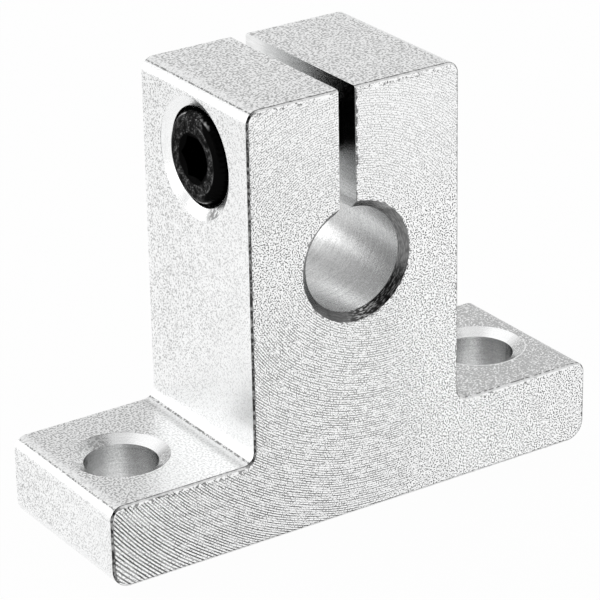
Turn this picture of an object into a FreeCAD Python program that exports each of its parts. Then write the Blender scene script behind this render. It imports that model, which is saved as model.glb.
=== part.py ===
"""Shaft support block: a one-piece inverted-T clamp for a round shaft, with its clamp screw.

Millimetres. The origin is the middle of the underside of the base, +X runs along the base,
+Y along the shaft bore and +Z up. The screw head is on the -X side of the upright.

Two bodies are made, one for each piece that comes off on a bench:
  block        profile cut to length, bored, slotted, cross-drilled and drilled for mounting
  clamp_screw  socket head cap screw that pulls the two ears of the slot together
"""
import FreeCAD, Part
import math
import os
import Sketcher

# Driving dimensions. Everything else is worked out from these cells.
DIMENSIONS = {
    # Block profile, seen along the bore
    "upright_width": 18.0,
    "foot_length": 12.0,
    "foot_thickness": 6.5,
    "block_depth": 14.0,
    "shaft_height": 20.0,
    "lip_to_top": 1.0,
    "top_corner_radius": 1.0,
    "foot_corner_radius": 1.0,
    "base_corner_radius": 1.5,
    "inner_fillet_radius": 0.9,
    "edge_break": 0.15,
    # Shaft bore and the saw cut that lets it close
    "bore_diameter": 8.0,
    "bore_chamfer": 0.6,
    "slot_width": 1.4,
    "slot_offset": 0.7,
    # Mounting holes in the feet, opened at the top by a drill point
    "foot_hole_diameter": 5.5,
    "foot_hole_inset": 5.0,
    "foot_hole_lip": 0.9,
    "drill_point_angle": 118.0,
    # Clamp screw and the holes that it sits in
    "screw_above_bore": 3.75,
    "screw_diameter": 4.0,
    "screw_tip_recess": 2.1,
    "screw_tip_chamfer": 0.5,
    "head_diameter": 7.0,
    "head_height": 4.0,
    "head_proud": 0.1,
    "head_edge_radius": 0.8,
    "head_pocket_clearance": 0.25,
    "head_pocket_lip": 0.8,
    "shank_clearance": 0.25,
    "thread_running_clearance": 0.04,
    "socket_across_flats": 3.0,
    "socket_depth": 2.0,
    "socket_mouth_diameter": 3.8,
    "socket_pilot_diameter": 2.9,
    "socket_cone_angle": 120.0,
}
SHEET = "Sizes"


class Size:
    """A length or angle that carries its number and the sheet expression it comes from."""

    def __init__(self, value, text):
        self.value = value
        self.text = text

    def __add__(self, other):
        other = as_size(other)
        return Size(self.value + other.value, f"({self.text} + {other.text})")

    def __sub__(self, other):
        other = as_size(other)
        return Size(self.value - other.value, f"({self.text} - {other.text})")

    def __mul__(self, other):
        other = as_size(other)
        return Size(self.value * other.value, f"({self.text} * {other.text})")

    def __truediv__(self, other):
        other = as_size(other)
        return Size(self.value / other.value, f"({self.text} / {other.text})")

    def __neg__(self):
        return Size(-self.value, f"(-{self.text})")


def as_size(number):
    """A plain number as a Size, so that both can stand in one formula."""
    return number if isinstance(number, Size) else Size(float(number), str(float(number)))


def half_angle_tangent(angle):
    """Tangent of half the angle between the two sides of a cone."""
    value = math.tan(math.radians(angle.value / 2))
    return Size(value, f"tan({angle.text} / 2 * 1 deg)")


def make_sheet(doc):
    """Write the driving dimensions to a spreadsheet and return them as Sizes."""
    sheet = doc.addObject("Spreadsheet::Sheet", SHEET)
    sizes = {}
    for row, (name, value) in enumerate(DIMENSIONS.items(), start=1):
        sheet.set(f"A{row}", name)
        sheet.set(f"B{row}", str(value))
        sheet.setAlias(f"B{row}", name)
        sizes[name] = Size(value, f"{SHEET}.{name}")
    doc.recompute()
    return sizes


def origin_plane(body, role):
    """One of the body's own three origin planes."""
    return next(item for item in body.Origin.OriginFeatures if item.Role == role)


def make_sketch(body, name, role, shift_x=None, shift_y=None, shift_z=None):
    """An empty sketch on an origin plane, shifted in the sketch's own directions."""
    sketch = body.newObject("Sketcher::SketchObject", name)
    sketch.AttachmentSupport = [(origin_plane(body, role), "")]
    sketch.MapMode = "FlatFace"
    for letter, shift in (("x", shift_x), ("y", shift_y), ("z", shift_z)):
        if shift is not None:
            sketch.setExpression(f".AttachmentOffset.Base.{letter}", shift.text)
    return sketch


def bind(sketch, constraint, name, size):
    """Add a dimension to a sketch and tie it to its expression."""
    index = sketch.addConstraint(constraint)
    sketch.renameConstraint(index, name)
    sketch.setExpression(f"Constraints.{name}", size.text)


def place_point(sketch, line, corner, label):
    """Fix the start of a line at the corner (x, y), measured from the sketch's origin."""
    x, y = corner
    bind(sketch, Sketcher.Constraint("DistanceX", -1, 1, line, 1, x.value), f"{label}_x", x)
    bind(sketch, Sketcher.Constraint("DistanceY", -1, 1, line, 1, y.value), f"{label}_y", y)


def draw_polygon(sketch, corners):
    """Closed straight-sided outline whose corners are all dimensioned."""
    points = [FreeCAD.Vector(x.value, y.value, 0) for x, y in corners]
    count = len(points)
    for index, point in enumerate(points):
        sketch.addGeometry(Part.LineSegment(point, points[(index + 1) % count]), False)
    for index, corner in enumerate(corners):
        after = (index + 1) % count
        sketch.addConstraint(Sketcher.Constraint("Coincident", index, 2, after, 1))
        place_point(sketch, index, corner, f"corner{index + 1}")


def draw_rounded_outline(sketch, corners):
    """Closed outline of level and upright lines, with an arc of its own radius at each corner.

    Each corner is (x, y, radius), and the first side is level.
    """
    count = len(corners)
    points = [FreeCAD.Vector(x.value, y.value, 0) for x, y, _ in corners]
    along = [(points[(i + 1) % count] - points[i]).normalize() for i in range(count)]
    # The lines stop short of each corner by its radius
    for index in range(count):
        after = (index + 1) % count
        start = points[index] + along[index] * corners[index][2].value
        end = points[after] - along[index] * corners[after][2].value
        sketch.addGeometry(Part.LineSegment(start, end), False)
    # An arc joins each line to the next one
    for index in range(count):
        after = (index + 1) % count
        radius = corners[after][2].value
        before = points[after] - along[index] * radius
        beyond = points[after] + along[after] * radius
        centre = before + along[after] * radius
        middle = centre - (along[after] - along[index]).normalize() * radius
        sketch.addGeometry(Part.Arc(before, middle, beyond), False)
        arc = count + index
        turns_left = along[index].cross(along[after]).z > 0
        first, last = (1, 2) if turns_left else (2, 1)
        sketch.addConstraint(Sketcher.Constraint("Tangent", index, 2, arc, first))
        sketch.addConstraint(Sketcher.Constraint("Tangent", arc, last, after, 1))
        bind(sketch, Sketcher.Constraint("Radius", arc, radius), f"radius{after + 1}", corners[after][2])
    # Each line is level or upright and lies at its corner's height or distance
    for index, (x, y, _) in enumerate(corners):
        level = index % 2 == 0
        sketch.addConstraint(Sketcher.Constraint("Horizontal" if level else "Vertical", index))
        kind, size = ("DistanceY", y) if level else ("DistanceX", x)
        bind(sketch, Sketcher.Constraint(kind, -1, 1, index, 1, size.value), f"side{index + 1}", size)


def cut_round(body, sketch, axis, name):
    """Turn a sketch once round one of its own axes and take it out of the body."""
    groove = body.newObject("PartDesign::Groove", name)
    groove.Profile = sketch
    groove.ReferenceAxis = (sketch, [axis])
    groove.Angle = 360
    return groove


def circle_edges(shape, x, radius):
    """Names of the full circles of one radius at one place along X."""
    names = []
    for number, edge in enumerate(shape.Edges, start=1):
        is_circle = isinstance(edge.Curve, Part.Circle)
        if is_circle and abs(edge.Curve.Radius - radius) < 1e-4 and abs(edge.Curve.Center.x - x) < 1e-4:
            names.append(f"Edge{number}")
    return names


def outline_edges(shape, y):
    """Names of the edges that lie flat in a face across Y."""
    box_of = [(f"Edge{number}", edge.BoundBox) for number, edge in enumerate(shape.Edges, start=1)]
    return [name for name, box in box_of if max(abs(box.YMin - y), abs(box.YMax - y)) < 1e-4]


def make_block(doc, s):
    """The block: profile, edge breaks, shaft bore, slot, cross hole and mounting holes."""
    body = doc.addObject("PartDesign::Body", "block")
    half_upright = s["upright_width"] / 2
    half_base = half_upright + s["foot_length"]
    top = top_height(s)
    zero = as_size(0)

    profile = make_sketch(body, "block_profile", "XZ_Plane")
    draw_rounded_outline(profile, [
        (-half_base, zero, s["base_corner_radius"]),
        (half_base, zero, s["base_corner_radius"]),
        (half_base, s["foot_thickness"], s["foot_corner_radius"]),
        (half_upright, s["foot_thickness"], s["inner_fillet_radius"]),
        (half_upright, top, s["top_corner_radius"]),
        (-half_upright, top, s["top_corner_radius"]),
        (-half_upright, s["foot_thickness"], s["inner_fillet_radius"]),
        (-half_base, s["foot_thickness"], s["foot_corner_radius"]),
    ])
    bar = body.newObject("PartDesign::Pad", "cut_to_length")
    bar.Profile = profile
    bar.Midplane = True
    bar.setExpression("Length", s["block_depth"].text)
    doc.recompute()

    # The saw's burr is taken off round the outline of both end faces
    deburr = body.newObject("PartDesign::Chamfer", "deburred_ends")
    end = s["block_depth"].value / 2
    deburr.Base = (bar, outline_edges(bar.Shape, end) + outline_edges(bar.Shape, -end))
    deburr.setExpression("Size", s["edge_break"].text)
    doc.recompute()

    # Shaft bore, chamfered at both mouths
    half_depth = s["block_depth"] / 2
    bore_radius = s["bore_diameter"] / 2
    mouth_radius = bore_radius + s["bore_chamfer"]
    bore_sketch = make_sketch(body, "bore_profile", "YZ_Plane", shift_y=s["shaft_height"])
    draw_polygon(bore_sketch, [
        (-half_depth, zero),
        (-half_depth, mouth_radius),
        (-half_depth + s["bore_chamfer"], bore_radius),
        (half_depth - s["bore_chamfer"], bore_radius),
        (half_depth, mouth_radius),
        (half_depth, zero),
    ])
    bore = cut_round(body, bore_sketch, "H_Axis", "shaft_bore")

    # The saw cut runs from the bore out through the top, nearer to the screw head's side
    slot_left = -(s["slot_offset"] + s["slot_width"] / 2)
    slot_right = slot_left + s["slot_width"]
    slot_sketch = make_sketch(body, "slot_profile", "XZ_Plane")
    draw_polygon(slot_sketch, [
        (slot_left, s["shaft_height"]),
        (slot_right, s["shaft_height"]),
        (slot_right, top + s["slot_width"]),
        (slot_left, top + s["slot_width"]),
    ])
    slot = body.newObject("PartDesign::Pocket", "clamp_slot")
    slot.Profile = slot_sketch
    slot.Type = "ThroughAll"
    slot.Midplane = True

    # Cross hole: lip, head pocket, clearance through the near ear, thread through the far one
    slot_middle = (slot_left + slot_right) / 2
    pocket_floor = head_seat(s)
    lip_radius = pocket_radius(s) + s["head_pocket_lip"]
    lip_floor = -half_upright + s["head_pocket_lip"] / half_angle_tangent(s["drill_point_angle"])
    clear_radius = s["screw_diameter"] / 2 + s["shank_clearance"]
    thread_radius = s["screw_diameter"] / 2 + s["thread_running_clearance"]
    cross_sketch = make_sketch(body, "screw_hole_profile", "XZ_Plane", shift_y=screw_height(s))
    draw_polygon(cross_sketch, [
        (-half_upright, zero),
        (-half_upright, lip_radius),
        (lip_floor, pocket_radius(s)),
        (pocket_floor, pocket_radius(s)),
        (pocket_floor, clear_radius),
        (slot_middle, clear_radius),
        (slot_middle, thread_radius),
        (half_upright, thread_radius),
        (half_upright, zero),
    ])
    cross_hole = cut_round(body, cross_sketch, "H_Axis", "screw_hole")

    # Mounting hole through the +X foot, and its mirror image in the other
    hole_radius = s["foot_hole_diameter"] / 2
    hole_lip_floor = s["foot_thickness"] - s["foot_hole_lip"] / half_angle_tangent(s["drill_point_angle"])
    foot_sketch = make_sketch(body, "foot_hole_profile", "XZ_Plane", shift_x=half_base - s["foot_hole_inset"])
    draw_polygon(foot_sketch, [
        (zero, zero),
        (hole_radius, zero),
        (hole_radius, hole_lip_floor),
        (hole_radius + s["foot_hole_lip"], s["foot_thickness"]),
        (zero, s["foot_thickness"]),
    ])
    foot_hole = cut_round(body, foot_sketch, "V_Axis", "foot_hole")
    doc.recompute()
    both_feet = body.newObject("PartDesign::Mirrored", "foot_holes")
    both_feet.Originals = [foot_hole]
    both_feet.MirrorPlane = (origin_plane(body, "YZ_Plane"), [""])
    body.Tip = both_feet
    doc.recompute()
    check_cuts([deburr, bore, slot, cross_hole, foot_hole, both_feet])
    return body


def screw_height(s):
    """Height of the screw's axis: clear of the shaft by a wall of its own."""
    return s["shaft_height"] + s["bore_diameter"] / 2 + s["screw_above_bore"]


def pocket_radius(s):
    """Radius of the pocket that the screw head sits in."""
    return s["head_diameter"] / 2 + s["head_pocket_clearance"]


def top_height(s):
    """Height of the block: the head pocket's lip and the wall above it."""
    return screw_height(s) + pocket_radius(s) + s["head_pocket_lip"] + s["lip_to_top"]


def head_seat(s):
    """X of the pocket's floor, where the head of the screw bears."""
    return s["head_height"] - s["head_proud"] - s["upright_width"] / 2


def make_clamp_screw(doc, s):
    """The cap screw: turned head and shank, rounded rim, hexagon socket with a drilled pilot."""
    body = doc.addObject("PartDesign::Body", "clamp_screw")
    seat = head_seat(s)
    head_end = seat - s["head_height"]
    tip = s["upright_width"] / 2 - s["screw_tip_recess"]
    head_radius = s["head_diameter"] / 2
    shank_radius = s["screw_diameter"] / 2
    zero = as_size(0)

    turned_sketch = make_sketch(body, "screw_profile", "XZ_Plane", shift_y=screw_height(s))
    draw_polygon(turned_sketch, [
        (head_end, zero),
        (head_end, head_radius),
        (seat, head_radius),
        (seat, shank_radius),
        (tip, shank_radius),
        (tip, zero),
    ])
    turned = body.newObject("PartDesign::Revolution", "turned_screw")
    turned.Profile = turned_sketch
    turned.ReferenceAxis = (turned_sketch, ["H_Axis"])
    turned.Angle = 360
    doc.recompute()

    rim = body.newObject("PartDesign::Fillet", "head_rim")
    rim.Base = (turned, circle_edges(turned.Shape, head_end.value, head_radius.value))
    rim.setExpression("Radius", s["head_edge_radius"].text)
    doc.recompute()
    point = body.newObject("PartDesign::Chamfer", "screw_point")
    point.Base = (rim, circle_edges(rim.Shape, tip.value, shank_radius.value))
    point.setExpression("Size", s["screw_tip_chamfer"].text)
    doc.recompute()

    # Hexagon socket, sunk from the end of the head
    hexagon = make_sketch(body, "socket_profile", "YZ_Plane", shift_y=screw_height(s), shift_z=head_end)
    corner_radius = s["socket_across_flats"].value / math.sqrt(3)
    angles = [math.radians(60 * side) for side in range(6)]
    points = [FreeCAD.Vector(corner_radius * math.cos(a), corner_radius * math.sin(a), 0) for a in angles]
    for side in range(6):
        hexagon.addGeometry(Part.LineSegment(points[side], points[(side + 1) % 6]), False)
    centre = FreeCAD.Vector(0, 0, 0)
    hexagon.addGeometry(Part.Circle(centre, FreeCAD.Vector(0, 0, 1), corner_radius), True)
    guide = 6
    hexagon.addConstraint(Sketcher.Constraint("Coincident", guide, 3, -1, 1))
    for side in range(6):
        hexagon.addConstraint(Sketcher.Constraint("Coincident", side, 2, (side + 1) % 6, 1))
        hexagon.addConstraint(Sketcher.Constraint("PointOnObject", side, 1, guide))
    for side in range(1, 6):
        hexagon.addConstraint(Sketcher.Constraint("Equal", 0, side))
    hexagon.addConstraint(Sketcher.Constraint("PointOnObject", 0, 1, -1))
    across = s["socket_across_flats"]
    bind(hexagon, Sketcher.Constraint("Distance", 0, 1, 3, across.value), "across_flats", across)
    socket = body.newObject("PartDesign::Pocket", "hexagon_socket")
    socket.Profile = hexagon
    socket.Reversed = True
    socket.setExpression("Length", s["socket_depth"].text)
    doc.recompute()

    # Countersunk mouth and the drill point left below the hexagon
    mouth_radius = s["socket_mouth_diameter"] / 2
    pilot_radius = s["socket_pilot_diameter"] / 2
    cone = half_angle_tangent(s["socket_cone_angle"])
    socket_floor = head_end + s["socket_depth"]
    pilot_sketch = make_sketch(body, "pilot_profile", "XZ_Plane", shift_y=screw_height(s))
    draw_polygon(pilot_sketch, [
        (head_end, zero),
        (head_end, mouth_radius),
        (head_end + (mouth_radius - pilot_radius) / cone, pilot_radius),
        (socket_floor, pilot_radius),
        (socket_floor + pilot_radius / cone, zero),
    ])
    pilot = cut_round(body, pilot_sketch, "H_Axis", "socket_pilot")
    doc.recompute()
    check_cuts([rim, point, socket, pilot])
    return body


def check_cuts(features):
    """Each feature has to leave less material than the one before it."""
    for feature in features:
        before = feature.BaseFeature.Shape.Volume
        if feature.Shape.Volume > before - 1e-6:
            raise RuntimeError(f"{feature.Name} removes nothing")


def check_document(doc, bodies):
    """Stop before anything is written if an object failed or a shape is unsound."""
    for item in doc.Objects:
        if "Invalid" in item.State or "Error" in item.State:
            raise RuntimeError(f"{item.Name} is {item.State}")
        if item.TypeId == "Sketcher::SketchObject" and not item.FullyConstrained:
            raise RuntimeError(f"{item.Name} is not fully constrained")
    for body in bodies:
        if body.Shape.isNull() or not body.Shape.isValid() or len(body.Shape.Solids) != 1:
            raise RuntimeError(f"{body.Label} is not one sound solid")


doc = FreeCAD.newDocument("shaft_support_block")
sizes = make_sheet(doc)
bodies = [make_block(doc, sizes), make_clamp_screw(doc, sizes)]
check_document(doc, bodies)
os.makedirs("parts", exist_ok=True)
for body in bodies:
    body.Shape.exportStep(f"parts/{body.Label}.step")
    box = body.Shape.BoundBox
    print(body.Label, f"{body.Shape.Volume:.1f} mm3, {box.XLength:.2f} x {box.YLength:.2f} x {box.ZLength:.2f} mm")
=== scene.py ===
"""Looks for the shaft support block: finishes, the threaded screw, floor, lights and camera.

Objects are in metres in the part's own frame: the origin is the middle of the underside of the
base, +X runs along the base away from the screw head, +Y along the shaft bore and +Z up. Places on
the block, the materials and the screw's shape are in millimetres, which keeps the numbers readable.
"""
import math

import bpy
from mathutils import Matrix, Vector


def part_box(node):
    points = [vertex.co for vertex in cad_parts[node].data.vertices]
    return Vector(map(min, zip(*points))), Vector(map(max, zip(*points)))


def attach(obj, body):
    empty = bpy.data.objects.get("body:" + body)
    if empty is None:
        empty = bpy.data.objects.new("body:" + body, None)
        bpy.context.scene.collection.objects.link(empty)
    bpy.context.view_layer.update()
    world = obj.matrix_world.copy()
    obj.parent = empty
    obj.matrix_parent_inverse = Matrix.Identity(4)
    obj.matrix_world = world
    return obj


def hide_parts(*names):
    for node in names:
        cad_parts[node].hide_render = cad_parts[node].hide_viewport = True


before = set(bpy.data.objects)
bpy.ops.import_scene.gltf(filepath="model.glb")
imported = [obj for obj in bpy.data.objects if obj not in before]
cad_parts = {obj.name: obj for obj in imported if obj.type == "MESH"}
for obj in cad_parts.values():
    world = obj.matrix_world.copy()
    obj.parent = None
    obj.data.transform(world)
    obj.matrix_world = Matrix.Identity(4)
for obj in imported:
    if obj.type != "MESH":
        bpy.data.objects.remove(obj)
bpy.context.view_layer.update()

MM = 0.001

# Camera, solved from the straight edges of the block in the photograph (600 x 600 pixels)
CAMERA_AZIMUTH = math.radians(-33.35)
CAMERA_ELEVATION = math.radians(23.972)
CAMERA_ROLL = math.radians(-1.071)
CAMERA_DISTANCE = 233.284 * MM
CAMERA_AIM = Vector((0, 0, 16)) * MM
CAMERA_SHIFT_RIGHT = -0.218 * MM
CAMERA_SHIFT_UP = -1.380 * MM
FOCAL_LENGTH_PIXELS = 3177.56
PHOTO_WIDTH_PIXELS = 600
SENSOR_WIDTH = 36

# Surround as (direction, radius in degrees, soft border in degrees, level at the middle)
SURROUND_LEVEL = 0.92
SURROUND_PATCHES = [
    ((-0.45, -0.65, 0.60), 15, 40, 0.15),  # dim round the camera, so that holes and chamfers are dark
    ((-0.5, 0.76, 0.41), 8, 12, 1.56),  # mirrored by the left foot into the side of the upright
    ((0.5, 0.76, 0.41), 14, 16, 1.04),  # mirrored by the upward faces
    ((-0.17, 0.50, 0.84), 13, 12, 1.32),  # mirrored by the lips of the foot holes
]

# Lamps as (name, direction, distance, width, height, radiance), with lengths in metres
SOFTBOXES = [
    ("back_left_softbox", (-0.70, 0.76, 0.12), 0.5, 0.24, 0.20, 1.3),
    ("upper_softbox", (0.25, 0.35, 0.95), 0.6, 0.4, 0.4, 0.15),
    ("front_right_softbox", (0.55, -0.80, 0.13), 0.5, 0.5, 0.13, 1.3),
    ("left_softbox", (-0.96, 0.05, 0.30), 0.5, 0.25, 0.25, 1.2),
]
LAMP_AIM = Vector((0, 0, 15)) * MM
FLOOR_HALF_WIDTH = 1.5
FLOOR_HEIGHT = -0.02 * MM

# Places on the block, in millimetres, as the CAD model has them
HALF_DEPTH = 7.0
BASE_END_X = 21.0
BASE_CORNER_RADIUS = 1.5
FOOT_TOP = 6.5
SIDE_X = 9.0
UPRIGHT_TOP = 33.3
CORNER_RADIUS = 1.0
FILLET_FOOT_X = 9.95
BORE_HEIGHT = 20.0
BORE_MOUTH_RADIUS = 4.6
SLOT_MIDDLE_X = -0.7
SLOT_WIDTH = 1.4
FOOT_HOLE_X = 16.0
FOOT_HOLE_LIP_RADIUS = 3.65
SCREW_HEIGHT = 27.75
POCKET_RADIUS = 3.75
POCKET_LIP_RADIUS = 4.55
POCKET_LIP_DEPTH = 0.48

# Facing marks in millimetres: centres of the arcs as (x, z), the height at which the two passes
# over the near end meet, the step from arc to arc, and the radius beyond which it widens
LOWER_ARCS_CENTRE = (2.6, 23.3)
UPPER_ARCS_CENTRE = (-0.6, 18.4)
FAR_END_ARCS_CENTRE = (-3.4, 20.6)
UPPER_PASS_HEIGHT = 23.0
FACING_FEED = 0.178
WIDENING_RADIUS = 25.0

# A scuff on the lip of the head pocket: its place as (y, z) and its radius, in millimetres
SCUFF_PLACE = (-2.2, 24.1)
SCUFF_RADIUS = 0.9

# M4 x 12 socket head cap screw, in millimetres
HEAD_HEIGHT = 4.0
HEAD_RIM_RADIUS = 0.8
SOCKET_ACROSS_FLATS = 3.0
SOCKET_MOUTH_RADIUS = 1.9
SOCKET_PILOT_RADIUS = 1.45
SOCKET_DEPTH = 2.0
SOCKET_CONE_SLOPE = 1 / math.tan(math.radians(60))
KNURL_TEETH = 48
KNURL_DEPTH = 0.13
NECK_LENGTH = 1.1
NECK_RADIUS = 1.85
POINT_CHAMFER = 0.5
THREAD_PITCH = 0.7
THREAD_RADIUS = 2.0
THREAD_ROOT_RADIUS = 1.57
THREAD_CREST_SHARE = 0.125

# Tapped hole in the far ear, in millimetres
TAPPED_RADIUS = 2.03
TAPPED_CREST_RADIUS = 1.62
TAPPED_SKIN_RADIUS = 2.07
COUNTERSINK_RADIUS = 2.05
COUNTERSINK_SLOPE = 0.4 / 0.3

# End of the screw head: the x that bounds it, and where its finish changes, from its axis
HEAD_END_X = -8.4
SOCKET_EDGE_RADIUS = 1.93
FACE_EDGE_RADIUS = 2.60
RIM_WEAR_RADIUS = 3.22

# Steps round the axis and along the threads, and the angle above which an edge stays sharp
HEAD_STEPS = KNURL_TEETH * 6
THREAD_STEPS = 72
SHANK_RINGS_PER_TURN = 14
TAPPED_RINGS_PER_TURN = 16
SHARP_ANGLE = math.radians(38)


class Field:
    """A number that varies over a surface. Arithmetic on it adds nodes to its graph."""

    def __init__(self, graph, socket):
        self.graph = graph
        self.socket = socket

    def __add__(self, other):
        return self.graph.math("ADD", self, other)

    def __sub__(self, other):
        return self.graph.math("SUBTRACT", self, other)

    def __rsub__(self, other):
        return self.graph.math("SUBTRACT", other, self)

    def __mul__(self, other):
        return self.graph.math("MULTIPLY", self, other)

    def __truediv__(self, other):
        return self.graph.math("DIVIDE", self, other)

    def __abs__(self):
        return self.graph.math("ABSOLUTE", self)

    __radd__ = __add__
    __rmul__ = __mul__


class Graph:
    """The node tree of a material or world, with one short call for each kind of node."""

    def __init__(self, owner):
        owner.use_nodes = True
        self.tree = owner.node_tree
        self.tree.nodes.clear()

    def node(self, kind, inputs=None, **settings):
        made = self.tree.nodes.new(kind)
        for name, value in settings.items():
            setattr(made, name, value)
        for key, value in (inputs or {}).items():
            self.put(made.inputs[key], value)
        return made

    def put(self, socket, value):
        """Link a field or another node's socket to an input, or write a constant on it."""
        if isinstance(value, Field):
            value = value.socket
        if isinstance(value, bpy.types.NodeSocket):
            self.tree.links.new(value, socket)
        else:
            socket.default_value = value

    def math(self, operation, *values):
        made = self.node("ShaderNodeMath", dict(enumerate(values)), operation=operation)
        return Field(self, made.outputs[0])

    def hypot(self, a, b):
        return self.math("SQRT", a * a + b * b)

    def coordinates(self, name, factor=1.0):
        """Object place or surface normal as three fields."""
        source = self.node("ShaderNodeTexCoord").outputs[name]
        scaled = self.node("ShaderNodeVectorMath", {0: source, "Scale": factor}, operation="SCALE")
        parts = self.node("ShaderNodeSeparateXYZ", {0: scaled.outputs[0]}).outputs
        return [Field(self, part) for part in parts]

    def join(self, x, y, z):
        return self.node("ShaderNodeCombineXYZ", {0: x, 1: y, 2: z}).outputs[0]

    def noise(self, vector, scale=1.0, detail=1.0, roughness=0.5):
        values = {"Vector": vector, "Scale": scale, "Detail": detail, "Roughness": roughness}
        return Field(self, self.node("ShaderNodeTexNoise", values).outputs["Fac"])

    def remap(self, value, low, high, to_low=0.0, to_high=1.0):
        """A straight ramp between two values, flat beyond them."""
        values = {"Value": value, "From Min": low, "From Max": high,
                  "To Min": to_low, "To Max": to_high}
        return Field(self, self.node("ShaderNodeMapRange", values, clamp=True).outputs[0])

    def below(self, value, limit, soft=0.02):
        return self.remap(value, limit - soft, limit + soft, 1.0, 0.0)

    def above(self, value, limit, soft=0.02):
        return self.remap(value, limit - soft, limit + soft, 0.0, 1.0)

    def between(self, value, low, high, soft=0.02):
        return self.above(value, low, soft) * self.below(value, high, soft)

    def mix(self, factor, a, b):
        """Value a where the factor is 0 and b where it is 1."""
        made = self.node("ShaderNodeMix", {0: factor, 2: a, 3: b},
                         data_type="FLOAT", clamp_factor=True)
        return Field(self, made.outputs[0])

    def colour(self, grey, tint=(1.0, 1.0, 1.0)):
        parts = [grey * part for part in tint]
        return self.node("ShaderNodeCombineColor", dict(enumerate(parts))).outputs[0]

    def bump(self, height, depth):
        """Relief from a height between 0 and 1, with the depth in millimetres."""
        values = {"Height": height, "Strength": 1.0, "Distance": depth * MM}
        return self.node("ShaderNodeBump", values).outputs[0]

    def finish(self, shader, output="ShaderNodeOutputMaterial"):
        self.tree.links.new(shader.outputs[0], self.node(output).inputs[0])


class BlockSurface:
    """Where each point of the block lies, which tool made it, and the noises that its finishes share.

    A mask is 1 on its part of the surface and 0 off it.
    """

    def __init__(self, g):
        x, y, z = g.coordinates("Object", 1 / MM)
        nx, ny, nz = g.coordinates("Normal")
        self.upward = g.above(nz, 0.75, 0.12)
        nx, ny, nz = abs(nx), abs(ny), abs(nz)
        self.x, self.y, self.z = x, y, z
        self.nx, self.ny, self.nz = nx, ny, nz
        self.place = g.join(x, y, z)
        self.from_bore = g.hypot(x, z - BORE_HEIGHT)
        self.from_foot_hole = g.hypot(abs(x) - FOOT_HOLE_X, y)
        self.from_screw = g.hypot(y, z - SCREW_HEIGHT)
        self.far_end = g.above(y, 0.0)
        self.far_foot = g.above(x, SIDE_X)

        self.faced = g.above(ny, 0.95)
        self.bored = g.below(self.from_bore, BORE_MOUTH_RADIUS + 0.03) * (1.0 - self.faced)
        self.chamfer = self.bored * g.above(ny, 0.5)
        self.foot_drilled = (g.below(self.from_foot_hole, FOOT_HOLE_LIP_RADIUS)
                             * g.between(z, 0.04, FOOT_TOP - 0.02))
        self.foot_lip = self.foot_drilled * g.above(nz, 0.3)
        self.sawn = (g.below(abs(x - SLOT_MIDDLE_X), SLOT_WIDTH / 2 + 0.05)
                     * g.above(nx, 0.9) * g.above(z, BORE_HEIGHT))
        in_pocket = g.below(self.from_screw, POCKET_RADIUS + 0.03) * g.below(abs(x), SIDE_X - 0.02)
        pocket_lip = (g.below(self.from_screw, POCKET_LIP_RADIUS)
                      * g.between(x, -SIDE_X + 0.02, POCKET_LIP_DEPTH - SIDE_X))
        self.cross_drilled = g.math("MAXIMUM", in_pocket, pocket_lip) * (1.0 - self.sawn)
        self.edge = g.between(ny, 0.5, 0.9) * (1.0 - self.bored)

        self.grain = g.noise(self.place, 8.5, 0.0)
        self.sparks = g.remap(g.noise(self.place, 7.6, 0.0), 0.57, 0.61)
        self.tremble = g.noise(self.place, 2.6, 2.0, 0.7)

        # Turning lines in the holes run round each hole's own axis
        along = g.mix(self.foot_drilled, y + self.from_bore, z + self.from_foot_hole)
        along = g.mix(self.cross_drilled, along, x + self.from_screw)
        lines = g.noise(g.join(x * 0.6 + y * 0.5, along * 8.0, z * 0.6 + y * 0.4), 1.0, 2.0, 0.7)
        self.turning = g.remap(lines, 0.3, 0.7) * 0.5 + g.remap(self.grain, 0.3, 0.7) * 0.5


def blasted_top_grey(g, at):
    """Upward blasted faces: grey with bright crystals, on the far foot darker with few sparks."""
    crystals = g.remap(g.noise(at.place, 6.0, 0.0), 0.432, 0.497)
    # Painted shade from the upright: the foot tops are a little darker than the faces higher up
    grey = g.mix(crystals, 0.48, 1.0) * g.remap(at.z, FOOT_TOP, FOOT_TOP + 2, 0.94, 1.0)
    grey = g.mix(at.far_foot, grey, g.mix(at.sparks, 0.55, 1.0) * g.mix(crystals, 0.90, 1.0))
    lip_outline = g.between(at.from_foot_hole, FOOT_HOLE_LIP_RADIUS, FOOT_HOLE_LIP_RADIUS + 0.10, 0.03)
    return grey + lip_outline * g.below(at.y, -1.2, 0.5) * at.far_foot * 0.35


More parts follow.
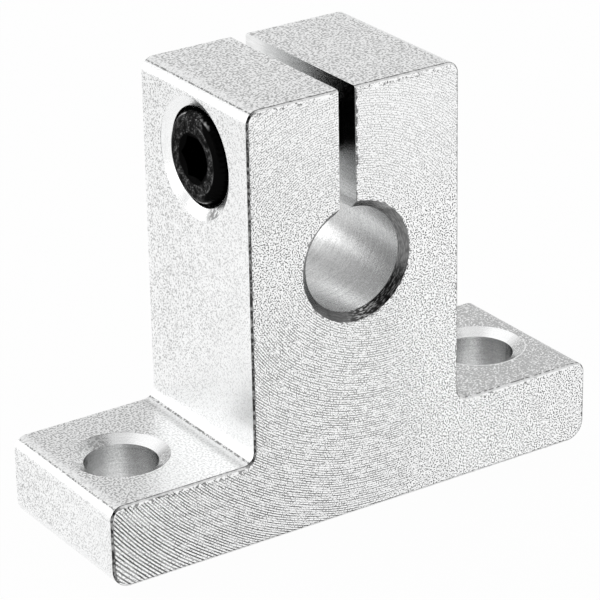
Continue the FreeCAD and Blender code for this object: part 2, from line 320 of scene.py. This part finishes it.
def profile_grey(g, at, blasted_top):
    """Blasted faces of the extruded profile, with its roundings and the lines that the die left."""
    x, y, z = at.x, at.y, at.z

    # Upright faces are pale with small dark pits, which fade towards the near end
    pits = g.remap(g.noise(at.place, 9.6, 0.0), 0.375, 0.455)
    blasted_side = g.mix(pits, g.remap(y, -6.5, 4.0, 0.69, 0.48), 1.0)
    blasted_side = blasted_side * g.remap(z, 24.0, 32.0, 1.0, 0.94)
    cloud = g.noise(at.place, 0.35, 2.0)
    grey = g.mix(at.upward, blasted_side, blasted_top) * g.remap(cloud, 0.3, 0.7, 0.96, 1.0)

    # Painted light: the corner of foot and upright below the screw head is painted paler, as a painted
    # reflection
    from_far_end = HALF_DEPTH - y
    painted_light_side = g.remap(z - FOOT_TOP - from_far_end * 0.54, -2.0, 4.0, 1.0, 0.0)
    painted_light_side = painted_light_side * g.above(x, -SIDE_X - 1.0)
    painted_light_top = g.remap(x + SIDE_X + from_far_end * 0.66, -0.8, 1.6) * g.below(z, FOOT_TOP + 0.6)
    painted_corner_light = g.mix(at.upward, painted_light_side, painted_light_top) * g.below(x, 0.0)
    grey = g.mix(painted_corner_light, grey, grey * 0.50 + 0.50)

    # Roundings are painted bright as a painted highlight, and a painted shade line runs where the inner
    # fillet meets the foot
    rounding_highlight = g.above(at.nz, 0.22, 0.16) * g.below(at.nz, 0.993, 0.006)
    rounding_highlight = rounding_highlight * g.below(at.ny, 0.2) * g.below(x, BASE_END_X - 2.0)
    grey = g.mix(rounding_highlight, grey, grey * 0.45 + 0.55)
    fillet_shade_line = g.remap(abs(abs(x) - FILLET_FOOT_X), 0.05, 0.55, 0.22, 0.0)
    grey = grey * (1.0 - fillet_shade_line * g.between(z, FOOT_TOP - 0.02, FOOT_TOP + 0.03))

    # The die leaves a broken dark line along every rounding
    in_fillet = g.below(abs(x), SIDE_X + 1.2) * g.below(z, FOOT_TOP + 1)
    die_line = g.below(abs(at.nz - g.mix(in_fillet, 0.79, 0.85)), 0.045)
    die_line = die_line * g.below(at.ny, 0.2) * g.below(at.nx, 0.65) * (1.0 - at.foot_drilled)
    die_line = die_line * g.remap(g.noise(at.place, 5.5, 1.0), 0.44, 0.52, 0.1, 1.0)
    return grey * (1.0 - die_line * g.mix(g.above(x, -SIDE_X - 3.0), 0.72, 0.76))


def facing_marks(g, at):
    """Arcs that the facing tool leaves on both ends, as a grey and a relief."""
    x, z = at.x, at.z
    upper_pass = g.above(z, UPPER_PASS_HEIGHT, 0.01)
    centre_x, centre_z = (
        g.mix(at.far_end, g.mix(upper_pass, lower, upper), far)
        for lower, upper, far in zip(LOWER_ARCS_CENTRE, UPPER_ARCS_CENTRE, FAR_END_ARCS_CENTRE))
    across, rise = x - centre_x, z - centre_z
    radius = g.hypot(across, rise)

    # One furrow for each turn of the tool, deepest at the end of the base below the screw head, where
    # the marks are also darker, partly as painted shade
    wander = g.noise(at.place, 0.16, 1.0)
    outer = g.math("MAXIMUM", 0.0, radius - WIDENING_RADIUS)
    turns = (radius + wander * 0.3) * (1 / FACING_FEED) - outer * outer * 0.15
    wave = g.math("SINE", turns * (2 * math.pi))
    depth_and_shade = g.remap((BORE_HEIGHT - z) - x * 0.75, -20.0, 34.0)
    furrow = g.remap(wave - g.remap(depth_and_shade, 0.7, 1.0, 0.0, 0.2), -0.75, -0.20)

    # Each furrow is broken into dashes along its arc, less so where it is deep
    turn = g.math("DIVIDE", 26.0, radius + 4.5)
    dashes = g.noise(g.join(across * turn, rise * turn, radius * 5.6), 1.0, 0.0)
    dashes = g.remap(dashes, 0.40, 0.52)
    dashes = g.mix(g.remap(depth_and_shade, 0.6, 0.95), dashes * 0.70 + 0.30, dashes * 0.35 + 0.65)

    # Arcs are crisp above and below their centre and faint beside it
    crispness = g.remap(abs(rise) / radius, 0.40, 0.62, 0.25, 1.0)
    lower_fade = g.remap((across - rise * 0.32) / radius, 0.30, 0.60, 1.0, 0.0)
    upper_fade = g.remap(z, UPPER_PASS_HEIGHT, 26.5, 0.25, 0.85)
    crispness = crispness * g.mix(upper_pass * (1.0 - at.far_end), lower_fade, upper_fade)
    furrow_cut = (1.0 - furrow) * dashes * g.remap(depth_and_shade, 0.1, 0.9, 0.42, 1.0) * crispness

    # Torn grain lies between the arcs, and takes their place where they are faint
    torn = g.noise(at.place, 10.0, 0.0) + crispness * 0.012
    torn_cut = g.remap(torn, 0.382, 0.432, 1.0, 0.0) * g.remap(depth_and_shade, 0.1, 0.4, 0.48, 0.80)
    torn_cut = torn_cut * g.remap(depth_and_shade, 0.70, 1.0, 1.0, 0.85) * g.mix(crispness, 1.40, 1.0)
    torn_cut = torn_cut * g.remap(x, 3.0, SIDE_X, 1.0, 1.14)

    cut = g.math("MAXIMUM", furrow_cut, torn_cut)
    grey = g.math("MAXIMUM", 0.05, (1.0 - cut) * 0.99)
    relief = furrow * g.remap(depth_and_shade, 0.0, 1.0, 0.1, 0.6) + at.grain * 0.4
    return grey, relief


def deburred_grey(g, at, grey):
    """A faced end with a burnished line, nicks and chips along its outline and its openings, and
    painted shade along its sides and lower corners.
    """
    x, z, tremble = at.x, at.z, at.tremble
    on_upright = g.below(abs(x), SIDE_X + 0.3, 0.01)
    from_top = g.mix(on_upright, FOOT_TOP, UPRIGHT_TOP) - z
    from_side = g.mix(g.above(z, FOOT_TOP + 0.8), BASE_END_X, SIDE_X) - abs(x)
    past_side = g.math("MAXIMUM", 0.0, CORNER_RADIUS - from_side)
    past_top = g.math("MAXIMUM", 0.0, CORNER_RADIUS - from_top)
    from_rim = CORNER_RADIUS - g.hypot(past_side, past_top)
    burnished = g.below(from_rim, 0.12 + g.remap(tremble, 0.38, 0.62, 0.0, 0.34), 0.03)
    burnished = burnished * g.below(from_top, 0.9, 0.2)
    nicks = g.noise(at.place, 3.6, 1.0, 0.75) + g.below(x, -SIDE_X) * 0.04
    nicks = g.remap(nicks, 0.56, 0.62) * g.below(from_top, 0.46, 0.1)
    grey = g.mix(burnished, grey, 0.97) * (1.0 - nicks * 0.7)

    # Along the sides: chips, and a painted shade line
    side_shade_and_chips = g.below(from_side, g.remap(tremble, 0.40, 0.66, 0.08, 0.30), 0.03)
    grey = grey * (1.0 - side_shade_and_chips * 0.55)

    # Painted shade: a dark line along the rounded lower corners
    past_end = g.math("MAXIMUM", 0.0, abs(x) - (BASE_END_X - BASE_CORNER_RADIUS))
    past_base = g.math("MAXIMUM", 0.0, BASE_CORNER_RADIUS - z)
    low_rim_shade = g.above(g.hypot(past_end, past_base), BASE_CORNER_RADIUS - 0.22, 0.03)
    low_rim_shade = low_rim_shade * g.below(z, 3.5, 1.0)
    grey = grey * (1.0 - low_rim_shade * g.remap(tremble, 0.35, 0.60, 0.35, 0.60))

    bore_chips = BORE_MOUTH_RADIUS + g.remap(tremble, 0.42, 0.68, -0.04, 0.16)
    bore_chips = g.below(at.from_bore, bore_chips, 0.02)
    grey = grey * (1.0 - bore_chips * 0.65)
    slot_burr = g.above(x, 0.0) * g.below(x, g.remap(tremble, 0.40, 0.62, 0.04, 0.26), 0.03)
    return grey * (1.0 - slot_burr * g.above(z, BORE_HEIGHT + 3.9) * 0.75)


def edge_grey(g, at):
    """The small break along the edges of both ends: dark as painted shade, with a painted highlight
    where it faces up.
    """
    # Painted shade: the edge break is dark
    grey = g.mix(g.remap(at.tremble, 0.46, 0.60), 0.04, 0.32)
    # Painted highlight where the edge faces up
    grey = grey + g.above(at.nz, 0.5) * g.above(abs(at.y), HALF_DEPTH - 0.11, 0.02) * 0.80
    # On the far foot the upward edge is brighter still: partly wear, partly painted highlight
    wear_and_highlight = g.above(at.nz, 0.3) * at.far_foot * g.remap(at.tremble, 0.47, 0.55)
    return g.mix(wear_and_highlight, grey, 0.95)


def foot_hole_grey(g, at, blasted_top):
    """A mounting hole: its wall, darker towards both ends of its arc as painted shade, and a lip that
    is painted bright on one side as a painted highlight and dull on the other.
    """
    hole_side = (abs(at.x) - FOOT_HOLE_X) * g.math("SIGN", at.x) / at.from_foot_hole
    hole_depth = at.y / at.from_foot_hole
    # Painted shade: the wall is darker towards both ends of its visible arc
    wall = g.mix(at.turning, 0.68, 0.99) * g.mix(g.between(hole_side, -0.72, 0.72, 0.22), 0.64, 1.0)
    patches = g.remap(g.noise(at.place, 3.6, 1.0), 0.56, 0.62, 1.0, 0.0)
    # One patch of the lip is darker
    darker_patch = g.above(hole_side * 0.71 - hole_depth * 0.71, 0.84, 0.05)
    darker_patch = darker_patch * g.mix(at.far_foot, patches, (1.0 - at.sparks) * 0.6)
    # Painted highlight: the lip is painted bright on one side
    painted_lip_highlight = g.above(hole_side * 0.87 + hole_depth * 0.50, 0.64, 0.10)
    lip = g.mix(painted_lip_highlight, blasted_top * 0.72 + 0.28, g.mix(at.turning, 0.94, 1.0))
    return g.mix(at.foot_lip, wall, lip * (1.0 - darker_patch * 0.25))


def pocket_grey(g, at):
    """The pocket of the screw head and its lip, with one scuff."""
    scuff_y, scuff_z = SCUFF_PLACE
    scuff = g.below(g.hypot(at.y - scuff_y, at.z - scuff_z), SCUFF_RADIUS, 0.4)
    scuff = scuff * g.remap(g.noise(at.place, 3.4, 2.0), 0.38, 0.50)
    return g.mix(at.turning, 0.84, 1.0) * (1.0 - scuff * 0.65)


def bore_grey(g, at):
    """The wall of the bore, painted dark as a painted reflection: darker inwards as painted shade, with
    painted shade beside the highlight near the front and a painted dark stripe.
    """
    x, y, z = at.x, at.y, at.z
    # Painted reflection and shade: the wall is painted darker than its metal, and darker inwards
    grey = g.mix(at.turning, 0.58, 0.92) * g.remap(y, -6.0, 1.0, 1.04, 0.88)
    bore_side = (x * 0.88 - (z - BORE_HEIGHT) * 0.47) / at.from_bore
    # Painted shade cuts the highlight short towards the near end
    grey = grey * (1.0 - g.above(bore_side, 0.93, 0.05) * g.below(y, 1.2, 1.6) * 0.38)
    # A painted dark stripe stands in for a dark reflection
    painted_dark_band = g.between(x / at.from_bore, 0.44, 0.70, 0.10) * g.below(z, BORE_HEIGHT)
    return grey * (1.0 - painted_dark_band * 0.24)


def chamfer_grey(g, at):
    """The chamfer of the bore: painted dark as a painted reflection, with chatter marks at the lower
    right, and painted lighter at the top and at the left.
    """
    round_x, round_z = at.x / at.from_bore, (at.z - BORE_HEIGHT) / at.from_bore
    scratches = g.noise(g.join(round_x * 9.0, at.from_bore * 17.0, round_z * 9.0), 1.0, 1.0)
    chatter = g.above(round_x * 0.50 - round_z * 0.87, 0.84, 0.10)
    # Painted reflection: the chamfer is painted dark, lighter towards its top and at its left
    grey = g.mix(g.remap(scratches, 0.38, 0.62), 0.13, 0.24)
    grey = grey * g.remap(at.z, 23.2, 24.3, 1.0, 5.0)
    grey = g.mix(g.below(round_x, -0.72, 0.20), grey, 0.75)
    return g.mix(chatter, grey, g.mix(g.remap(scratches, 0.50, 0.62), 0.05, 0.70))


def sawn_grey(g, at):
    """The walls of the saw cut, with painted shade high up towards the near end and a painted dark
    reflection at the top of the near end.
    """
    x, y, z = at.x, at.y, at.z
    saw_lines = g.noise(g.join(x, y * 0.7 + z * 0.15, z * 7.0), 1.0, 2.0, 0.6)
    grey = g.mix(g.remap(saw_lines, 0.3, 0.7), 0.76, 0.92)
    # Painted dark reflection at the top of the near end
    grey = grey * (1.0 - g.below(y, -3.6, 2.4) * g.above(z, 31.2, 1.2) * 0.75)
    # Painted shade high up towards the near end, slightly paler lower down
    return grey * (1.06 - g.remap(z, 24.2, 28.0) * g.remap(y, -2.0, 6.0, 1.0, 0.1) * 0.42)


def make_aluminium():
    """Clear-anodised aluminium: blasted profile faces, faced ends, holes and saw cut."""
    material = bpy.data.materials.new("aluminium_finish")
    g = Graph(material)
    at = BlockSurface(g)
    blasted_top = blasted_top_grey(g, at)
    marks_grey, marks_relief = facing_marks(g, at)
    grey = g.mix(at.faced, profile_grey(g, at, blasted_top), deburred_grey(g, at, marks_grey))
    grey = g.mix(at.edge, grey, edge_grey(g, at))
    grey = g.mix(at.foot_drilled, grey, foot_hole_grey(g, at, blasted_top))
    grey = g.mix(at.cross_drilled, grey, pocket_grey(g, at))
    grey = g.mix(at.bored, grey, bore_grey(g, at))
    grey = g.mix(at.chamfer, grey, chamfer_grey(g, at))
    grey = g.mix(at.sawn, grey, sawn_grey(g, at))

    machined = g.math("MAXIMUM", g.math("MAXIMUM", at.bored, at.foot_drilled), at.cross_drilled)
    roughness = g.mix(machined, g.mix(at.faced, 0.28, 0.32), 0.27)
    roughness = g.mix(at.sawn, roughness, 0.16)
    relief = g.mix(at.faced, at.grain, marks_relief)
    relief = g.mix(g.math("MAXIMUM", machined, at.sawn), relief, at.turning * 0.35)
    g.finish(g.node("ShaderNodeBsdfPrincipled", {
        "Base Color": g.colour(grey, (0.995, 1.0, 1.0)), "Metallic": 1.0, "Roughness": roughness,
        "Normal": g.bump(relief, 0.012)}))
    return material


def make_black_oxide():
    """Black oxide on a forged and rolled steel screw, with wear along the edges of its head that is
    partly painted highlight, and a painted paler end face.
    """
    material = bpy.data.materials.new("black_oxide_finish")
    g = Graph(material)
    x, y, z = g.coordinates("Object", 1 / MM)
    place = g.join(x, y, z)
    from_axis = g.hypot(y, z - SCREW_HEIGHT)
    side = y / from_axis
    on_end = g.below(x, HEAD_END_X)
    # The end face, and the rim except on its near side, are painted paler with a mottle as painted
    # light; on the near side the rim stays near black as painted shade
    lit_face_radius = g.remap(side, -0.6, -0.2, FACE_EDGE_RADIUS + 0.02, RIM_WEAR_RADIUS + 0.20)
    mottled_lit_face = g.above(from_axis, SOCKET_EDGE_RADIUS, 0.05) * g.below(from_axis, lit_face_radius, 0.05)
    mottle = g.remap(g.noise(place, 2.6, 4.0, 0.8), 0.45, 0.60)
    specks = g.remap(g.noise(place, 8.0, 0.0), 0.56, 0.66) * mottle

    # Thin bright lines at the edge of the face and on the rim, on the sides that catch the light:
    # partly wear, partly painted highlight
    worn_edge_highlight = g.between(from_axis, FACE_EDGE_RADIUS, FACE_EDGE_RADIUS + 0.08, 0.03)
    worn_edge_highlight = worn_edge_highlight * g.below(side, -0.3, 0.2)
    worn_rim_highlight = g.between(from_axis, RIM_WEAR_RADIUS, RIM_WEAR_RADIUS + 0.10, 0.03)
    worn_rim_highlight = worn_rim_highlight * g.above(abs(z - SCREW_HEIGHT) / from_axis, 0.70, 0.1)
    wear_and_highlight = g.math("MAXIMUM", worn_edge_highlight, worn_rim_highlight * g.above(side, -0.5, 0.1) * 3.5)
    wear_and_highlight = wear_and_highlight * on_end * g.remap(g.noise(place, 0.6, 2.0), 0.46, 0.56)

    grey = g.mix(mottled_lit_face * on_end, 0.003, g.mix(mottle, 0.008, 0.034) + specks * 0.16) + wear_and_highlight * 0.14
    g.finish(g.node("ShaderNodeBsdfPrincipled", {
        "Base Color": g.colour(grey), "Metallic": 1.0, "Roughness": 0.34,
        "Specular Tint": (0.5, 0.5, 0.5, 1.0), "Normal": g.bump(mottle, 0.008)}))
    return material


def link_object(name, data):
    """An object of the scene that shows a mesh, a lamp or a camera."""
    made = bpy.data.objects.new(name, data)
    bpy.context.scene.collection.objects.link(made)
    return made


def make_mesh_object(name, vertices, faces, material):
    """A piece from points in millimetres, smooth except at its sharp edges."""
    mesh = bpy.data.meshes.new(name)
    mesh.from_pydata([Vector(point) * MM for point in vertices], [], faces)
    mesh.validate()
    mesh.shade_smooth()
    mesh.set_sharp_from_angle(angle=SHARP_ANGLE)
    mesh.materials.append(material)
    return link_object(name, mesh)


def revolve(rings, count):
    """Vertices and faces of a closed skin round the screw's axis.

    Each ring is a function of the angle that gives (x, radius), or one x for a point on the axis.
    """
    vertices, faces, starts = [], [], []
    for ring in rings:
        starts.append(len(vertices))
        if callable(ring):
            for step in range(count):
                angle = 2 * math.pi * step / count
                x, radius = ring(angle)
                vertices.append((x, radius * math.cos(angle), SCREW_HEIGHT + radius * math.sin(angle)))
        else:
            vertices.append((ring, 0.0, SCREW_HEIGHT))
    for index in range(len(rings) - 1):
        a, b = starts[index], starts[index + 1]
        for step in range(count):
            after = (step + 1) % count
            if not callable(rings[index]):
                faces.append((a, b + after, b + step))
            elif not callable(rings[index + 1]):
                faces.append((a + step, a + after, b))
            else:
                faces.append((a + step, a + after, b + after, b + step))
    return vertices, faces


def plain(x, radius):
    """A round ring."""
    return lambda angle: (x, radius)


def knurled(x, radius, share):
    """A ring cut by the knurl to a share of its depth."""
    def ring(angle):
        return x, radius - KNURL_DEPTH * share * abs((angle * KNURL_TEETH / math.pi) % 2 - 1)
    return ring


def hexagonal(x, chamfer_share=0.0):
    """A ring of the socket's wall, which follows the cone of its mouth by the given share."""
    def ring(angle):
        turn = (angle + math.radians(30)) % math.radians(60) - math.radians(30)
        radius = SOCKET_ACROSS_FLATS / 2 / math.cos(math.radians(30) - abs(turn))
        return x + (SOCKET_MOUTH_RADIUS - radius) * SOCKET_CONE_SLOPE * chamfer_share, radius
    return ring


def head_rings(head_end, head_radius):
    """Rings of the head, from the bottom of its socket round the rim to the seat."""
    bottom = head_end + SOCKET_DEPTH
    seat = head_end + HEAD_HEIGHT

    # Drilled cone, hexagonal wall and flat end face
    rings = [bottom + SOCKET_PILOT_RADIUS * SOCKET_CONE_SLOPE]
    rings += [plain(bottom + (SOCKET_PILOT_RADIUS - radius) * SOCKET_CONE_SLOPE, radius)
              for radius in (0.3, 0.8, SOCKET_PILOT_RADIUS)]
    rings += [hexagonal(bottom)]
    rings += [hexagonal(head_end + SOCKET_DEPTH * share, 1 - share) for share in (0.75, 0.5, 0.25, 0.0)]
    rings += [plain(head_end, radius) for radius in (SOCKET_MOUTH_RADIUS, 2.2, 2.5)]

    # Rounded rim, where the knurl grows in, then the knurled side and the seat
    steps, smooth_steps = 10, 4
    for step in range(steps + 1):
        turn = math.pi / 2 * step / steps
        share = max(0.0, (step - smooth_steps) / (steps - smooth_steps))
        rings.append(knurled(head_end + HEAD_RIM_RADIUS - HEAD_RIM_RADIUS * math.cos(turn),
                             head_radius - HEAD_RIM_RADIUS + HEAD_RIM_RADIUS * math.sin(turn), share))
    rings += [knurled(seat - 0.25, head_radius, 1.0), knurled(seat - 0.1, head_radius - 0.05, 0.6)]
    rings += [plain(seat, head_radius - 0.25), plain(seat, 2.3), plain(seat, 0.9), seat - 0.4]
    return rings


def thread_radius(x, angle, outer, inner):
    """Radius of a right-handed 60 degree thread at a place along and round the screw."""
    phase = (x / THREAD_PITCH - angle / (2 * math.pi)) % 1.0
    from_crest = abs(phase - 0.5) * 2
    slope = (1 - from_crest - THREAD_CREST_SHARE) / (1 - 2 * THREAD_CREST_SHARE)
    return inner + (outer - inner) * min(1.0, max(0.0, slope))


def threaded_rings(ring_at, start, end, rings_per_turn):
    """Evenly spaced rings over the length of a thread."""
    count = round((end - start) / THREAD_PITCH * rings_per_turn)
    return [ring_at(start + (end - start) * index / count) for index in range(count + 1)]


def make_cap_screw(material):
    """M4 socket head cap screw with a knurled head, hexagon socket and rolled thread."""
    low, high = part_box("clamp_screw")
    head_end, tip = low.x / MM, high.x / MM
    seat = head_end + HEAD_HEIGHT
    head_radius = (high.y - low.y) / 2 / MM

    def shank(x):
        def ring(angle):
            full = thread_radius(x, angle, THREAD_RADIUS, THREAD_ROOT_RADIUS)
            grown = min(1.0, max(0.0, (x - seat - NECK_LENGTH) / THREAD_PITCH))
            radius = NECK_RADIUS + (full - NECK_RADIUS) * grown
            return x, min(radius, THREAD_RADIUS - (x - (tip - POINT_CHAMFER)))
        return ring

    head_points, head_faces = revolve(head_rings(head_end, head_radius), HEAD_STEPS)
    inside_head = seat - 0.3
    rings = [inside_head, plain(inside_head, 1.8)]
    rings += threaded_rings(shank, seat, tip, SHANK_RINGS_PER_TURN) + [plain(tip, 1.0), tip]
    shank_points, shank_faces = revolve(rings, THREAD_STEPS)
    offset = len(head_points)
    faces = head_faces + [tuple(corner + offset for corner in face) for face in shank_faces]
    screw = make_mesh_object("cap_screw", head_points + shank_points, faces, material)
    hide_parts("clamp_screw")
    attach(screw, "screw")


def make_tapped_thread(material):
    """The last turns of the tapped hole, which show in the far ear beyond the screw's point."""
    low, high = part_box("clamp_screw")
    start = high.x / MM + 0.15
    mouth = SIDE_X - 0.03

    def inner(x):
        def ring(angle):
            radius = thread_radius(x, angle, TAPPED_RADIUS, TAPPED_CREST_RADIUS)
            return x, max(radius, COUNTERSINK_RADIUS - max(0.0, mouth - x) * COUNTERSINK_SLOPE)
        return ring

    rings = [plain(start, TAPPED_SKIN_RADIUS)]
    rings += threaded_rings(inner, start, mouth, TAPPED_RINGS_PER_TURN)
    rings += [plain(mouth, TAPPED_SKIN_RADIUS), plain(start, TAPPED_SKIN_RADIUS)]
    points, faces = revolve(rings, THREAD_STEPS)
    thread = make_mesh_object("tapped_thread", points, faces, material)
    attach(thread, "block")


def make_floor():
    """A wide white floor that the camera sees as paper white with the block's soft shadow."""
    material = bpy.data.materials.new("floor_paper")
    g = Graph(material)
    path = g.node("ShaderNodeLightPath").outputs
    seen = g.math("MAXIMUM", path["Is Camera Ray"], path["Is Glossy Ray"])
    seen = g.math("MAXIMUM", seen, path["Is Transmission Ray"])
    paper = g.node("ShaderNodeBsdfDiffuse", {"Color": (0.95, 0.95, 0.95, 1.0)})
    glow = g.node("ShaderNodeEmission", {"Color": (1.0, 1.0, 1.0, 1.0), "Strength": 1.0})
    g.finish(g.node("ShaderNodeMixShader", {0: seen * 0.97, 1: paper.outputs[0], 2: glow.outputs[0]}))
    half = FLOOR_HALF_WIDTH
    mesh = bpy.data.meshes.new("floor")
    corners = [(-half, -half, 0), (half, -half, 0), (half, half, 0), (-half, half, 0)]
    mesh.from_pydata(corners, [], [(0, 1, 2, 3)])
    mesh.materials.append(material)
    floor = link_object("floor", mesh)
    floor.location.z = FLOOR_HEIGHT


def make_world():
    """A pale surround with brighter and dimmer patches. The camera sees it as white."""
    world = bpy.data.worlds.new("surround")
    bpy.context.scene.world = world
    g = Graph(world)
    place = g.node("ShaderNodeTexCoord").outputs["Generated"]
    level = SURROUND_LEVEL
    for towards, radius, border, patch_level in SURROUND_PATCHES:
        facing = g.node("ShaderNodeVectorMath", {0: place, 1: Vector(towards).normalized()},
                        operation="DOT_PRODUCT")
        falloff = g.node("ShaderNodeMapRange", {
            "Value": facing.outputs["Value"],
            "From Min": math.cos(math.radians(radius + border)),
            "From Max": math.cos(math.radians(radius)),
            "To Min": 1.0, "To Max": patch_level / SURROUND_LEVEL}, interpolation_type="SMOOTHSTEP")
        level = g.math("MULTIPLY", level, falloff.outputs[0])
    seen = g.node("ShaderNodeLightPath").outputs["Is Camera Ray"]
    background = g.node("ShaderNodeBackground", {"Strength": g.mix(seen, level, 1.0)})
    g.finish(background, "ShaderNodeOutputWorld")


def make_softbox(name, towards, distance, width, height, radiance):
    """A lamp that faces the block, as bright as a surface of the given radiance."""
    direction = Vector(towards).normalized()
    lamp = bpy.data.lights.new(name, "AREA")
    lamp.shape = "RECTANGLE"
    lamp.size = width
    lamp.size_y = height
    lamp.energy = radiance * math.pi * width * height
    box = link_object(name, lamp)
    box.location = LAMP_AIM + direction * distance
    box.rotation_mode = "QUATERNION"
    box.rotation_quaternion = (-direction).to_track_quat("-Z", "Y")
    box.visible_camera = False


def make_camera():
    """The photograph's camera."""
    a, e = CAMERA_AZIMUTH, CAMERA_ELEVATION
    back = Vector((math.sin(a) * math.cos(e), -math.cos(a) * math.cos(e), math.sin(e)))
    right = (-back).cross(Vector((0, 0, 1))).normalized()
    up = right.cross(-back)
    c, s = math.cos(CAMERA_ROLL), math.sin(CAMERA_ROLL)
    right, up = c * right + s * up, c * up - s * right
    place = CAMERA_AIM + CAMERA_SHIFT_RIGHT * right + CAMERA_SHIFT_UP * up + CAMERA_DISTANCE * back
    data = bpy.data.cameras.new("photo_camera")
    data.sensor_width = SENSOR_WIDTH
    data.lens = FOCAL_LENGTH_PIXELS * SENSOR_WIDTH / PHOTO_WIDTH_PIXELS
    data.clip_start = 0.01
    data.clip_end = 10
    camera = link_object("photo_camera", data)
    camera.matrix_world = Matrix.Translation(place) @ Matrix((right, up, back)).transposed().to_4x4()
    bpy.context.scene.camera = camera


def dress(node, material):
    """Give a CAD node its finish."""
    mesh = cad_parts[node].data
    mesh.materials.clear()
    mesh.materials.append(material)


aluminium = make_aluminium()
black_oxide = make_black_oxide()
dress("block", aluminium)
dress("clamp_screw", black_oxide)
make_cap_screw(black_oxide)
make_tapped_thread(aluminium)
make_floor()
make_world()
for softbox in SOFTBOXES:
    make_softbox(*softbox)
make_camera()
bpy.context.scene.view_settings.view_transform = "Standard"
